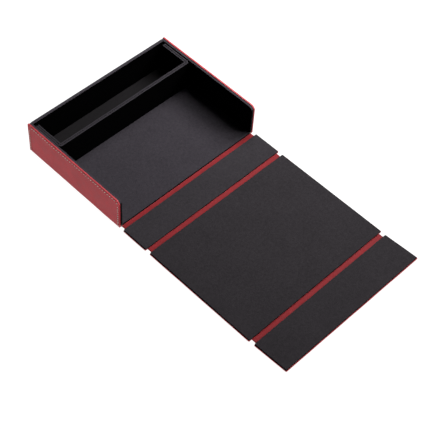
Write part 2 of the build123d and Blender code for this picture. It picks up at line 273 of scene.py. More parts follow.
# ---------------------------------------------------------------------------
# Materials
# ---------------------------------------------------------------------------
class Shade:
    """One Principled material with a few short ways to wire its nodes."""

    def __init__(self, name):
        self.material = bpy.data.materials.new(name)
        self.material.use_nodes = True
        self.tree = self.material.node_tree
        self.bsdf = self.tree.nodes["Principled BSDF"]
        self.coord = self.tree.nodes.new("ShaderNodeTexCoord").outputs["Object"]

    def node(self, kind, **values):
        made = self.tree.nodes.new(kind)
        for key, value in values.items():
            setattr(made, key, value)
        return made

    def link(self, a, b):
        self.tree.links.new(a, b)

    def noise(self, size_mm, detail=2.0, roughness=0.55, distortion=0.0):
        t = self.node("ShaderNodeTexNoise")
        t.inputs["Scale"].default_value = 1000.0 / size_mm
        t.inputs["Detail"].default_value = detail
        t.inputs["Roughness"].default_value = roughness
        t.inputs["Distortion"].default_value = distortion
        self.link(self.coord, t.inputs["Vector"])
        return t.outputs["Fac"]

    def cells(self, size_mm, feature="F1", stir_mm=0.0, stir=0.0):
        t = self.node("ShaderNodeTexVoronoi", feature=feature)
        t.inputs["Scale"].default_value = 1000.0 / size_mm
        vector = self.coord
        if stir:
            n = self.node("ShaderNodeTexNoise")
            n.inputs["Scale"].default_value = 1000.0 / stir_mm
            n.inputs["Detail"].default_value = 2.0
            self.link(self.coord, n.inputs["Vector"])
            m = self.node("ShaderNodeVectorMath", operation="MULTIPLY_ADD")
            self.link(n.outputs["Color"], m.inputs[0])
            m.inputs[1].default_value = (stir * 0.001,) * 3
            self.link(self.coord, m.inputs[2])
            vector = m.outputs[0]
        self.link(vector, t.inputs["Vector"])
        return t.outputs["Distance"]

    def math(self, op, a, b=None, c=None, clamp=False):
        m = self.node("ShaderNodeMath", operation=op, use_clamp=clamp)
        for socket, value in zip(m.inputs, (a, b, c)):
            if value is None:
                continue
            if isinstance(value, (int, float)):
                socket.default_value = value
            else:
                self.link(value, socket)
        return m.outputs[0]

    def spread(self, value, lo, hi, out_lo, out_hi):
        m = self.node("ShaderNodeMapRange")
        self.link(value, m.inputs["Value"])
        m.inputs["From Min"].default_value = lo
        m.inputs["From Max"].default_value = hi
        m.inputs["To Min"].default_value = out_lo
        m.inputs["To Max"].default_value = out_hi
        return m.outputs["Result"]

    def ramp(self, value, stops):
        r = self.node("ShaderNodeValToRGB")
        while len(r.color_ramp.elements) < len(stops):
            r.color_ramp.elements.new(0.5)
        for e, (at, colour) in zip(r.color_ramp.elements, stops):
            e.position = at
            e.color = (*colour, 1.0)
        self.link(value, r.inputs["Fac"])
        return r.outputs["Color"]

    def mix(self, factor, a, b, how="MIX"):
        m = self.node("ShaderNodeMix", data_type="RGBA", blend_type=how)
        for socket, value in ((m.inputs[0], factor), (m.inputs[6], a), (m.inputs[7], b)):
            if isinstance(value, (int, float)):
                socket.default_value = value
            elif isinstance(value, tuple):
                socket.default_value = (*value, 1.0)
            else:
                self.link(value, socket)
        return m.outputs[2]

    def attribute(self, name):
        a = self.node("ShaderNodeAttribute", attribute_type="GEOMETRY", attribute_name=name)
        return a.outputs["Fac"]

    def bump(self, height, strength, distance_mm, under=None):
        b = self.node("ShaderNodeBump")
        b.inputs["Strength"].default_value = strength
        b.inputs["Distance"].default_value = distance_mm * 0.001
        self.link(height, b.inputs["Height"])
        if under is not None:
            self.link(under, b.inputs["Normal"])
        return b.outputs["Normal"]

    def set(self, **values):
        for key, value in values.items():
            self.bsdf.inputs[key.replace("_", " ")].default_value = value

    def to(self, **links):
        for key, value in links.items():
            self.link(value, self.bsdf.inputs[key.replace("_", " ")])


def microfibre(name, colour, contrast=1.0, sheen=0.12, specular=0.25):
    """Short-nap suede-like lining: soft blotches of brushed nap a few millimetres
    across over a fine felted grain."""
    s = Shade(name)
    nap = s.noise(3.2, 3.0, 0.62, 0.5)
    fine = s.noise(1.1, 2.0, 0.6)
    fibre = s.noise(0.35, 1.0, 0.5)
    cloud = s.noise(34.0, 2.0, 0.5)
    tone = s.math("MULTIPLY", nap, 0.27)
    tone = s.math("MULTIPLY_ADD", fine, 0.38, tone)
    tone = s.math("MULTIPLY_ADD", fibre, 0.25, tone)
    tone = s.math("MULTIPLY_ADD", cloud, 0.10, tone)
    k = 0.42 * contrast
    lo = tuple(c * (1 - k) for c in colour)
    hi = tuple(c * (1 + k) for c in colour)
    tint = (colour[0] * 1.02, colour[1] * 0.98, colour[2] * 1.02)
    s.to(Base_Color=s.ramp(tone, [(0.34, lo), (0.5, tint), (0.66, hi)]))
    s.to(Roughness=s.spread(fine, 0.3, 0.7, 0.80, 0.98))
    s.set(Sheen_Weight=sheen, Sheen_Roughness=0.45, Specular_IOR_Level=specular, IOR=1.45)
    s.bsdf.inputs["Sheen Tint"].default_value = (0.75, 0.74, 0.82, 1.0)
    n = s.bump(nap, 0.25, 0.25)
    n = s.bump(fine, 0.45, 0.12, n)
    n = s.bump(fibre, 0.5, 0.05, n)
    s.to(Normal=n)
    return s.material


def leather(name, colour, rough=(0.46, 0.62), grain=1.0, fade=0.10, specular=0.22):
    """Fine-grained leather: pebbles under a millimetre with darker creases,
    broad tone changes, and paler rubbed edges where the wear value is high."""
    s = Shade(name)
    pebble = s.cells(0.62, "F1", 1.3, 0.45)
    crease = s.cells(0.62, "DISTANCE_TO_EDGE", 1.3, 0.45)
    pore = s.noise(0.30, 2.0, 0.6)
    cloud = s.noise(26.0, 3.0, 0.55, 0.4)
    patch = s.noise(7.0, 2.0, 0.55)
    lo = tuple(c * 0.88 for c in colour)
    hi = tuple(min(c * 1.11, 1.0) for c in colour)
    tone = s.math("MULTIPLY", cloud, 0.6)
    tone = s.math("MULTIPLY_ADD", patch, 0.4, tone)
    base = s.ramp(tone, [(0.36, lo), (0.5, colour), (0.64, hi)])
    deep = s.spread(crease, 0.0, 0.10, 0.34, 0.0)
    base = s.mix(deep, base, tuple(c * 0.60 for c in colour), "MIX")
    worn = s.math("MULTIPLY", s.attribute("wear"), s.spread(pore, 0.35, 0.65, 0.3, 1.0), clamp=True)
    pale = tuple(min(c * 1.25 + 0.05, 1.0) for c in colour)
    base = s.mix(s.math("MULTIPLY", worn, fade), base, pale)
    s.to(Base_Color=base)
    r = s.math("MULTIPLY_ADD", patch, 0.5, s.math("MULTIPLY", pore, 0.5))
    s.to(Roughness=s.spread(r, 0.35, 0.65, rough[0], rough[1]))
    s.set(Specular_IOR_Level=specular, IOR=1.45)
    n = s.bump(pebble, 0.40 * grain, -0.08)
    n = s.bump(s.spread(crease, 0.0, 0.2, 0.0, 1.0), 0.35 * grain, 0.045, n)
    n = s.bump(pore, 0.25 * grain, 0.03, n)
    n = s.bump(patch, 0.15, 0.25, n)
    s.to(Normal=n)
    return s.material


def thread(name, colour):
    """Twisted sewing thread: fine fibres, soft sheen, slightly soiled."""
    s = Shade(name)
    fibre = s.noise(0.12, 2.0, 0.6)
    soil = s.noise(3.0, 2.0, 0.6)
    tone = s.math("MULTIPLY_ADD", soil, 0.5, s.math("MULTIPLY", fibre, 0.5))
    lo = tuple(c * 0.86 for c in colour)
    s.to(Base_Color=s.ramp(tone, [(0.35, lo), (0.6, colour)]))
    s.to(Roughness=s.spread(fibre, 0.3, 0.7, 0.6, 0.85))
    s.set(Sheen_Weight=0.25, Sheen_Roughness=0.4, Specular_IOR_Level=0.35)
    s.to(Normal=s.bump(fibre, 0.5, 0.04))
    return s.material


def greyboard(name):
    """Raw dense board: pressed paper fibre with darker flecks."""
    s = Shade(name)
    fleck = s.noise(0.7, 3.0, 0.7)
    cloud = s.noise(9.0, 2.0, 0.5)
    fibre = s.noise(0.2, 1.0, 0.5)
    tone = s.math("MULTIPLY_ADD", cloud, 0.4, s.math("MULTIPLY", fleck, 0.6))
    s.to(Base_Color=s.ramp(tone, [(0.32, (0.24, 0.22, 0.19)), (0.5, (0.42, 0.39, 0.35)), (0.7, (0.52, 0.49, 0.44))]))
    s.to(Roughness=s.spread(fibre, 0.3, 0.7, 0.82, 0.96))
    s.to(Normal=s.bump(fleck, 0.4, 0.08))
    return s.material


def nickel(name):
    """Nickel plating with a faint tumbled haze."""
    s = Shade(name)
    haze = s.noise(1.2, 3.0, 0.6)
    s.to(Base_Color=s.ramp(haze, [(0.3, (0.62, 0.61, 0.58)), (0.7, (0.74, 0.73, 0.70))]))
    s.to(Roughness=s.spread(haze, 0.3, 0.7, 0.16, 0.32))
    s.set(Metallic=1.0)
    s.to(Normal=s.bump(haze, 0.1, 0.02))
    return s.material


# The black lining is drawn as lit and shaded copies of one cloth. The floor, wall-top, divider-top and front-panel
# copies are lighter than the lid copy: painted light where the lamps fall more strongly.
LINING_FLOOR_PAINTED_LIGHT = microfibre("lining_floor_painted_light", (0.0600, 0.0540, 0.0635))
# The compartment copy is much darker: painted shadow of the divider on the compartment floor.
LINING_PIT_PAINTED_SHADOW = microfibre("lining_compartment_painted_shadow", (0.0175, 0.0160, 0.0172), 0.8)
LINING_TOP_PAINTED_LIGHT = microfibre("lining_top_painted_light", (0.0740, 0.0670, 0.0780), 0.8)
LINING_RIDGE_PAINTED_LIGHT = microfibre("lining_divider_painted_light", (0.0570, 0.0520, 0.0600), 0.8)
LINING_FRONT_PAINTED_LIGHT = microfibre("lining_front_panel_painted_light", (0.0510, 0.0462, 0.0515))
LINING_LID = microfibre("lining_lid", (0.0430, 0.0385, 0.0425))
# The wall, edge and rim copies for upright faces are near black: painted shade on the faces turned away from the
# lamps.
LINING_WALL_PAINTED_SHADE = microfibre("lining_wall_painted_shade", (0.0016, 0.0015, 0.0018), 0.8, 0.0, 0.03)
LINING_EDGE_PAINTED_SHADE = microfibre("lining_edge_painted_shade", (0.0060, 0.0066, 0.0072), 0.8, 0.02, 0.10)
LINING_RIM_PAINTED_SHADE = microfibre("lining_rim_painted_shade", (0.0105, 0.0115, 0.0125), 0.8, 0.03, 0.12)
RED_SIDE = leather("leather_side", (0.53, 0.041, 0.053))
# The rim copy of the side leather is far lighter than the side copy: a painted highlight on the lit rolled top edge.
RED_RIM_PAINTED_HIGHLIGHT = leather("leather_rim_painted_highlight", (0.93, 0.105, 0.125), (0.36, 0.50), 0.8, 0.10, 0.5)
RED_LID = leather("leather_lid", (0.50, 0.036, 0.046))
RED_STRIP = leather("leather_strip", (0.42, 0.024, 0.031), (0.50, 0.66), 0.8)
BLACK_COVER = leather("leather_black", (0.020, 0.019, 0.021), (0.45, 0.6), 1.0, 0.04)
THREAD = thread("thread_cream", (0.98, 0.86, 0.78))
BOARD = greyboard("greyboard")
NICKEL = nickel("nickel")


# ---------------------------------------------------------------------------
# CAD nodes that stay: boards and magnets inside the skins
# ---------------------------------------------------------------------------
for node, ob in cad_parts.items():
    ob.data.materials.clear()
    ob.data.materials.append(NICKEL if "magnets" in node else BOARD)


def place(ob, body, slot, *nodes):
    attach(ob, body)
    if nodes:
        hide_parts(*nodes)
    return ob


# ---------------------------------------------------------------------------
# Seam line of the side panels: where it runs and where its stitches lie
# ---------------------------------------------------------------------------
SEAM_Y0, SEAM_Y1, SEAM_Z1, SEAM_BEND, SEAM_FOOT = -71.2, 71.8, 39.7, 3.5, 2.0
PITCH, STITCH_L = 3.7, 2.1


def seam_places():
    out = []
    for i in range(int((SEAM_Z1 - SEAM_BEND - SEAM_FOOT) / PITCH)):
        out.append((SEAM_Y0, SEAM_FOOT + STITCH_L / 2 + i * PITCH, 90.0))
    q = math.sqrt(0.5)
    out.append((SEAM_Y0 + SEAM_BEND * (1 - q), SEAM_Z1 - SEAM_BEND * (1 - q), 45.0))
    for i in range(int((SEAM_Y1 - SEAM_Y0 - SEAM_BEND - 1.0) / PITCH)):
        out.append((SEAM_Y0 + SEAM_BEND + STITCH_L / 2 + 0.4 + i * PITCH, SEAM_Z1, 0.0))
    for i in range(int((SEAM_Z1 - SEAM_FOOT - 1.0) / PITCH)):
        out.append((SEAM_Y1, SEAM_FOOT + STITCH_L / 2 + i * PITCH, 90.0))
    return out


PLACES = seam_places()


def seam_distance(y, z):
    """Distance of points on a side panel from its seam line."""
    best = np.full(len(y), 1e9)
    c = (SEAM_Y0 + SEAM_BEND, SEAM_Z1 - SEAM_BEND)
    runs = [
        ((SEAM_Y0, 0.0), (SEAM_Y0, c[1])),
        ((c[0], SEAM_Z1), (SEAM_Y1, SEAM_Z1)),
        ((SEAM_Y1, SEAM_Z1), (SEAM_Y1, 0.0)),
    ]
    for t0, t1 in ((0, 30), (30, 60), (60, 90)):
        p = [
            (c[0] - SEAM_BEND * math.cos(math.radians(t)), c[1] + SEAM_BEND * math.sin(math.radians(t)))
            for t in (t0, t1)
        ]
        runs.append((p[0], p[1]))
    for (ay, az), (by, bz) in runs:
        dy, dz = by - ay, bz - az
        t = np.clip(((y - ay) * dy + (z - az) * dz) / (dy * dy + dz * dz), 0, 1)
        best = np.minimum(best, np.hypot(y - ay - t * dy, z - az - t * dz))
    return best


# ---------------------------------------------------------------------------
# Side panels: red leather rolled over its backing, with the sewn seam
# ---------------------------------------------------------------------------
RNG = np.random.default_rng(11)
# how much thicker the padded leather of each side is than its nominal 1.5 mm
SIDE_SWELL = {-1: 1.20, 1: 1.40}


def side_cover(side, s):
    rings = [(i, 1.5) for i in np.arange(5.75, 0.40, -0.22)]
    rings += roll(0.26, 1.5, 0.0, 1.20, 6)
    rings += [(0.0, 0.75), (0.0, 0.24)]
    rings += roll(0.0, 0.24, 0.50, 0.0, 4, "steep")
    rings += [(0.6, 0.0), (0.6, 0.9)]
    V, F, O, T, rings = plate(
        (Y_FRONT, Y_SIDE_BACK), (0.0, SIDE_H), (0.6, 0.6, 1.5, 6.0), 6.0, rings,
        0.42, 24, (4, 4),
    )
    y, z, c = V[:, 0].copy(), V[:, 1].copy(), V[:, 2].copy()
    outer = np.clip((c - 0.9) / 0.6, 0, 1)
    outer[T >= len(rings) - 2] = 0.0
    d = seam_distance(y, z)
    # the thread draws the leather in along the seam, most at its holes
    sink = 0.12 * np.exp(-((d / 0.70) ** 2))
    for k, (py, pz, turn) in enumerate(PLACES):
        t = math.radians(turn)
        for e in (-1, 1):
            hy = py + e * math.cos(t) * 1.02
            hz = pz + e * math.sin(t) * 1.02
            near = np.hypot(y - hy, z - hz)
            sink = np.maximum(sink, 0.30 * np.exp(-((near / 0.34) ** 2)))
    puff = 0.05 * np.exp(-(((d - 1.5) / 0.7) ** 2))
    broad = 0.05 * waves(np.column_stack([y, z]), 34.0, 21 + (s > 0))
    V[:, 2] = c + outer * (puff - sink + broad - 0.05)
    # the rolled rim wanders a little
    rim = np.clip(1 - np.array([rings[t][0] for t in T]) / 0.8, 0, 1)
    wander = 0.05 * waves(np.column_stack([y, z]), 22.0, 31 + (s > 0)) - 0.02
    V[:, 0] = y + O[:, 0] * wander * rim
    V[:, 1] = np.maximum(z + O[:, 1] * wander * rim, 0.0)
    wear = rim * np.clip(0.6 + 0.5 * waves(np.column_stack([y, z]), 9.0, 41 + (s > 0)), 0, 1)
    P = np.column_stack([s * (X_WALL_OUT + V[:, 2] * SIDE_SWELL[s]), V[:, 0], V[:, 1]])

    def pick(c, n):
        # Upward faces along the rolled top edge take the rim copy: a painted highlight.
        painted_highlight = (n[:, 2] > 0.30) & (c[:, 2] > 36.0) & (np.abs(c[:, 0]) > X_WALL_OUT + 0.15)
        return np.where(painted_highlight, 1, 0)

    ob = finish_mesh(f"{side}_side_leather", P, F, [RED_SIDE, RED_RIM_PAINTED_HIGHLIGHT], pick, wear=wear)
    return place(ob, "tray", "red_leather", f"{side}_side_cover")


def stitching(side, s):
    """Each stitch is two plies twisted round each other that dive into the holes."""
    V, F = [], []
    seg, rim_n = 12, 8
    for k, (py, pz, turn) in enumerate(PLACES):
        t = math.radians(turn + RNG.uniform(-2.5, 2.5) + 12.0 * s)
        along = np.array([math.cos(t), math.sin(t)])
        across = np.array([-math.sin(t), math.cos(t)])
        centre = np.array([py, pz]) + across * RNG.uniform(-0.06, 0.06)
        phase = RNG.uniform(0, 2 * math.pi)
        for ply in (0.0, math.pi):
            base = len(V)
            for j in range(seg + 1):
                u = -1 + 2 * j / seg
                up = 0.15 - 0.80 * abs(u) ** 6
                q = phase + ply + u * 1.9
                narrow = 1.0 - 0.22 * u ** 4
                cx = 0.30 * math.cos(q) * narrow
                ch = 0.14 * math.sin(q) * narrow + up
                for m in range(rim_n):
                    a = 2 * math.pi * m / rim_n
                    w = cx + 0.38 * narrow * math.cos(a)
                    hgt = ch + 0.27 * narrow * math.sin(a)
                    p = centre + along * (u * 0.96) + across * w
                    V.append((s * (X_WALL_OUT + 1.5 * SIDE_SWELL[s] - 0.03 + hgt), p[0], p[1]))
            for j in range(seg):
                for m in range(rim_n):
                    n = (m + 1) % rim_n
                    r0, r1 = base + j * rim_n, base + (j + 1) * rim_n
                    F.append((r0 + m, r0 + n, r1 + n, r1 + m))
            F.append(tuple(base + m for m in range(rim_n)))
            F.append(tuple(base + seg * rim_n + m for m in range(rim_n)))
    ob = finish_mesh(f"{side}_seam_thread", V, F, [THREAD], sharp=70)
    return place(ob, "tray", "thread", f"{side}_stitching")


def wall_lining(side, s):
    rings = [(i, 2.5) for i in (4.6, 3.4, 2.4, 1.5, 0.9, 0.5)]
    rings += roll(0.34, 2.5, 0.0, 2.16, 5)
    rings += [(0.0, 1.6), (0.0, 0.9), (0.0, 0.32)]
    rings += roll(0.0, 0.32, 0.36, 0.0, 3, "steep")
    rings += [(0.4, 0.0), (0.4, 2.1)]
    V, F, O, T, rings = plate(
        (Y_FRONT, Y_BACK), (Z_WALL, WALL_H), (0.2, 0.2, 0.8, 6.0), 6.0, rings,
        1.5, 16, (1, 4),
    )
    y, z = V[:, 0].copy(), V[:, 1].copy()
    inner = np.clip((V[:, 2] - 2.0) / 0.5, 0, 1)
    inner[T >= len(rings) - 2] = 0
    V[:, 2] -= inner * (0.03 + 0.03 * waves(np.column_stack([y, z]), 28.0, 51 + (s > 0)))
    inset = np.array([rings[t][0] for t in T])
    rim = np.clip(1 - inset / 1.0, 0, 1)
    wander = 0.06 * waves(np.column_stack([y, z]), 26.0, 61 + (s > 0)) - 0.04
    V[:, 0] = y + O[:, 0] * wander * rim
    V[:, 1] = z + O[:, 1] * wander * rim
    P = np.column_stack([s * (X_WALL_OUT - V[:, 2]), V[:, 0], V[:, 1]])

    def pick(c, n):
        # Sideways faces take the near-black wall copy and the other upright faces the dark edge copy, both painted
        # shade; top faces take the top copy, lightened as painted light.
        return np.where(np.abs(n[:, 0]) > 0.55, 0, np.where(n[:, 2] > 0.45, 2, 1))

    ob = finish_mesh(f"{side}_wall_suede", P, F, [LINING_WALL_PAINTED_SHADE, LINING_EDGE_PAINTED_SHADE, LINING_TOP_PAINTED_LIGHT], pick)
    return place(ob, "tray", "black_lining", f"{side}_wall_lining")


for side, s in (("left", -1), ("right", 1)):
    side_cover(side, s)
    stitching(side, s)
    wall_lining(side, s)

# ---------------------------------------------------------------------------
# Floor: lining over the board, turned down at the front
# ---------------------------------------------------------------------------
UNDER_DIVIDER = 27.85
ys = np.concatenate([
    np.linspace(Y_WALL_IN, UNDER_DIVIDER, 29)[:-1], np.linspace(UNDER_DIVIDER, Y_FRONT + 0.9, 69)
])
profile = [(y, FLOOR_Z) for y in ys]
profile += arc(Y_FRONT + 0.35, FLOOR_Z - 0.35, 0.35, 90, 180, 5)
profile += [(Y_FRONT, 2.0), (Y_FRONT, 1.3), (Y_FRONT, 0.6)]
profile += [(Y_FRONT + LINING, 0.6), (Y_FRONT + LINING, FLOOR_Z - LINING)]
profile += [(Y_WALL_IN, FLOOR_Z - LINING)]
xs = np.concatenate([[-X_WALL_IN], np.linspace(-95.4, 95.4, 128), [X_WALL_IN]])
V, F = bar(profile, xs)
top = np.clip((V[:, 2] - 2.75) / 0.25, 0, 1)
V[:, 2] += top * (0.035 * waves(V[:, :2], 42.0, 71) + 0.012 * waves(V[:, :2], 7.0, 72) - 0.02)
# Front and end faces of the floor take the edge copy, darkened as painted shade; the floor behind the divider takes
# the compartment copy as painted shadow of the divider; the rest takes the floor copy, lightened as painted light.
place(
    finish_mesh("floor_suede", V, F, [LINING_FLOOR_PAINTED_LIGHT, LINING_EDGE_PAINTED_SHADE, LINING_PIT_PAINTED_SHADOW],
                lambda c, n: np.where((n[:, 1] < -0.5) | (np.abs(n[:, 0]) > 0.8), 1,
                                      np.where(c[:, 1] > UNDER_DIVIDER, 2, 0))),
    "tray", "black_lining", "floor_lining",
)

# leather under the tray
rings = [(i, 0.0) for i in (2.2, 1.2, 0.6)] + roll(0.3, 0.0, 0.0, 0.2, 3)
rings += [(0.0, 0.45), (0.12, 0.6), (0.8, 0.6)]
V, F, O, T, rings = plate(
    (-X_WALL_OUT, X_WALL_OUT), (Y_FRONT, Y_BACK), (0.4,) * 4, 2.5, rings, 2.4, 6, (1, 4)
)
low = (V[:, 2] < 0.3).astype(float)
V[:, 2] += low * (0.03 + 0.02 * waves(V[:, :2], 35.0, 73))
# at the back it is turned up over the edge of the floor board
profile = [(Y_BACK - 0.04, 0.05), (Y_BACK + 0.25, 0.08)]
profile += arc(Y_BACK + 0.28, 0.26, 0.16, -75, 0, 3)
profile += between((Y_BACK + 0.44, 0.45), (Y_BACK + 0.44, 2.45), 6)
profile += arc(Y_BACK + 0.26, 2.45, 0.18, 0, 90, 4)
profile += [(Y_BACK - 0.04, 2.63)]
V2, F2 = bar(profile, np.linspace(-X_WALL_OUT + 0.02, X_WALL_OUT - 0.02, 110))
proud = V2[:, 1] > Y_BACK + 0.1
V2[:, 1] += proud * (0.03 * waves(V2[:, [0, 2]], 24.0, 74) - 0.02)
F = list(F) + [tuple(j + len(V) for j in f) for f in F2]
V = np.vstack([V, V2])
place(finish_mesh("base_leather", V, F, [RED_LID]), "tray", "red_leather", "base_cover")

# ---------------------------------------------------------------------------
# Back wall: lining on its inner face and over the top, leather outside
# ---------------------------------------------------------------------------
top_y = np.linspace(Y_WALL_IN + 0.32, Y_BACK - LINING - 0.10, 34)
profile = between((Y_WALL_IN, Z_WALL), (Y_WALL_IN, WALL_H - 0.32), 14)
profile += arc(Y_WALL_IN + 0.32, WALL_H - 0.32, 0.32, 180, 90, 5)[:-1]
profile += [(y, WALL_H) for y in top_y]
profile += arc(Y_BACK - LINING - 0.10, WALL_H - 0.10, 0.10, 90, 0, 2)[1:]
profile += [(Y_BACK - LINING, WALL_H - LINING), (Y_WALL_IN + LINING, WALL_H - LINING)]
profile += [(Y_WALL_IN + LINING, Z_WALL)]
xs = np.concatenate([[-X_WALL_IN, -95.9], np.linspace(-95.3, 95.3, 110), [95.9, X_WALL_IN]])
V, F = bar(profile, xs)
mid = 71.35
on_top = (V[:, 2] > WALL_H - 0.02).astype(float)
V[:, 2] -= on_top * (
    0.18 * np.exp(-(((V[:, 1] - mid - 0.05 * waves(V[:, 0], 30.0, 81)) / 0.14) ** 2))
    + 0.02 + 0.02 * waves(V[:, :2], 16.0, 82)
)
face = (np.abs(V[:, 1] - Y_WALL_IN) < 0.01).astype(float)
V[:, 1] += face * (0.03 + 0.03 * waves(V[:, [0, 2]], 30.0, 83))
# Top faces take the top copy, lightened as painted light; the rest takes the near-black wall copy as painted shade.
place(
    finish_mesh("back_wall_suede", V, F, [LINING_TOP_PAINTED_LIGHT, LINING_WALL_PAINTED_SHADE],
                lambda c, n: np.where(n[:, 2] > 0.55, 0, 1)),
    "tray", "black_lining", "back_wall_lining",
)

rings = [(i, 0.4) for i in (2.2, 1.2, 0.5)] + roll(0.12, 0.4, 0.0, 0.28, 2)
rings += [(0.0, 0.0), (0.4, 0.0)]
V, F, O, T, rings = plate(
    (-X_WALL_IN, X_WALL_IN), (Z_WALL, WALL_H), (0.3,) * 4, 2.5, rings, 2.2, 6, (1, 4)
)
outer = (V[:, 2] > 0.15).astype(float)
V[:, 2] += outer * (-0.03 + 0.02 * waves(V[:, :2], 30.0, 84))
P = np.column_stack([V[:, 0], Y_BACK - LINING + V[:, 2], V[:, 1]])
# Top faces of the back leather take the top lining copy, lightened as painted light.
place(
    finish_mesh("back_wall_leather", P, F, [BLACK_COVER, LINING_TOP_PAINTED_LIGHT], lambda c, n: np.where(n[:, 2] > 0.6, 1, 0)),
    "tray", "black_cover", "back_wall_cover",
)

# ---------------------------------------------------------------------------
# Divider insert: lining wrapped over a U-shaped board, with pressed seam lines
# ---------------------------------------------------------------------------
DIV_Z, DIV_TOP, DIV_T = 3.1, 40.8, 4.3
DIV_X, DIV_FRONT, DIV_REAR = 95.25, 25.7, 66.3


def divider_stations():
    """Centre line of the U from the left end round to the right end: point,
    sideways direction (towards the outside of the U) and share of the front run."""
    half = DIV_T / 2
    x, yf = DIV_X - half, DIV_FRONT + half
    r = half
    out = []
    for y in np.linspace(DIV_REAR, yf + r, 24)[:-1]:
        out.append((-x, y, -1.0, 0.0, 0.0))
    for j in range(13):
        t = math.radians(180 + 90 * j / 12)
        out.append((-x + r + r * math.cos(t), yf + r + r * math.sin(t), math.cos(t), math.sin(t), j / 12))
    for xx in np.linspace(-x + r, x - r, 108)[1:-1]:
        out.append((xx, yf, 0.0, -1.0, 1.0))
    for j in range(13):
        t = math.radians(270 + 90 * j / 12)
        out.append((x - r + r * math.cos(t), yf + r + r * math.sin(t), math.cos(t), math.sin(t), 1 - j / 12))
    for y in np.linspace(yf + r, DIV_REAR, 24)[1:]:
        out.append((x, y, 1.0, 0.0, 0.0))
    return out


def u_section(inset, top_round):
    """Half-open section from the outside foot over the top to the inside foot, as
    (sideways, height), the sideways value positive towards the outside."""
    half, top = DIV_T / 2 - inset, DIV_TOP - inset
    pts = [(half, z) for z in np.linspace(DIV_Z, top - top_round, 13)]
    if top_round > 0:
        for j in range(1, 6):
            t = math.pi / 2 * j / 6
            pts.append((half - top_round * (1 - math.cos(t)), top - top_round * (1 - math.sin(t))))
    across = [half - top_round, 1.45, 1.05, 0.70, 0.46, 0.32, 0.24, 0.18, 0.12, 0.06, 0.0]
    for w in across + [-w for w in across[-2::-1]]:
        pts.append((w, top))
    if top_round > 0:
        for j in range(5, 0, -1):
            t = math.pi / 2 * j / 6
            pts.append((-(half - top_round * (1 - math.cos(t))), top - top_round * (1 - math.sin(t))))
    pts += [(-half, z) for z in np.linspace(top - top_round, DIV_Z, 13)]
    return pts


stations = divider_stations()
# the wrapped ends are rounded off over the last 0.8 mm
outer_section = u_section(0.0, 0.38)
inner_section = u_section(0.4, 0.01)
m_out, m_in = len(outer_section), len(inner_section)
ends = []
for j in range(5):
    t = math.pi / 2 * j / 5
    ends.append((1 - math.cos(t), math.sin(t)))


def round_off(stations, reach, squeeze):
    """Adds stations past both ends that narrow like a rolled corner."""
    first, last = stations[0], stations[-1]
    out = []
    for narrow, go in ends[:0:-1]:
        out.append((first, narrow * squeeze, go * reach))
    body = [(q, 0.0, 0.0) for q in stations]
    tail = []
    for narrow, go in ends[1:]:
        tail.append((last, narrow * squeeze, go * reach))
    return out, body, tail


def channel(stations, section, inset_end, squeeze, grooves, seed):
    """Vertices of the section carried round the U, ends pulled in by inset_end."""
    V = []
    reach = 0.8
    head, body, tail = round_off(stations, reach, squeeze)
    total = head + body + tail
    for k, ((cx, cy, nx, ny, front), narrow, go) in enumerate(total):
        at_end = abs(nx) > 0.99 and cy > DIV_REAR - 1.9
        for w, z in section:
            ww = w - math.copysign(min(narrow, abs(w)), w) if narrow else w
            zz = z
            dz = 0.0
            if grooves and z > DIV_TOP - 0.3:
                dz = -0.55 * math.exp(-((w / 0.24) ** 2))
                zz = z - narrow * 0.6
            yy = cy
            if abs(nx) > 0.99 and cy > DIV_REAR - reach - 1e-6:
                yy = DIV_REAR - reach - inset_end
            yy = yy + go if (narrow or go) else yy
            if 0.0 < front < 1.0 and ww > 0:
                ww += 0.30 * math.sin(math.pi * front) * ww / (DIV_T / 2)
            V.append((cx + ww * nx, yy + ww * ny, zz + dz))
    return np.array(V), len(total)


def divider_mesh():
    # stations stop 0.8 mm short of the ends, and the rounding adds the rest
    short = [q for q in stations if not (abs(q[2]) > 0.99 and q[1] > DIV_REAR - 0.8 + 1e-6)]
    first, last = stations[0], stations[-1]
    short = [(first[0], DIV_REAR - 0.8, *first[2:])] + short + [(last[0], DIV_REAR - 0.8, *last[2:])]
    outer, count = channel(short, outer_section, 0.0, 0.8, True, 91)
    inner, count_in = channel(short, inner_section, 0.4, 0.3, False, 91)
    swing = waves(outer[:, :2], 40.0, 92)
    lean = np.clip((outer[:, 2] - DIV_Z) / (DIV_TOP - DIV_Z), 0, 1)
    outer[:, 1] += 0.05 * swing * lean
    F = []
    m = m_out
    for k in range(count - 1):
        for j in range(m - 1):
            F.append((k * m + j, k * m + j + 1, (k + 1) * m + j + 1, (k + 1) * m + j))
    for k in (0, count - 1):
        o = k * m
        for j in range(m // 2):
            F.append((o + j, o + j + 1, o + m - 2 - j, o + m - 1 - j))
    off = len(outer)
    m2 = m_in
    for k in range(count_in - 1):
        for j in range(m2 - 1):
            F.append((off + k * m2 + j, off + k * m2 + j + 1, off + (k + 1) * m2 + j + 1, off + (k + 1) * m2 + j))
    for k in (0, count_in - 1):
        o = off + k * m2
        for j in range(m2 // 2):
            F.append((o + j, o + j + 1, o + m2 - 2 - j, o + m2 - 1 - j))
    # foot rim joins the outer and the inner skin
    for j_out, j_in in ((0, 0), (m - 1, m2 - 1)):
        for k in range(count - 1):
            F.append((k * m + j_out, (k + 1) * m + j_out, off + (k + 1) * m2 + j_in, off + k * m2 + j_in))
    for k in (0, count - 1):
        F.append((k * m, k * m + m - 1, off + k * m2 + m2 - 1, off + k * m2))
    return np.vstack([outer, inner]), F


V, F = divider_mesh()
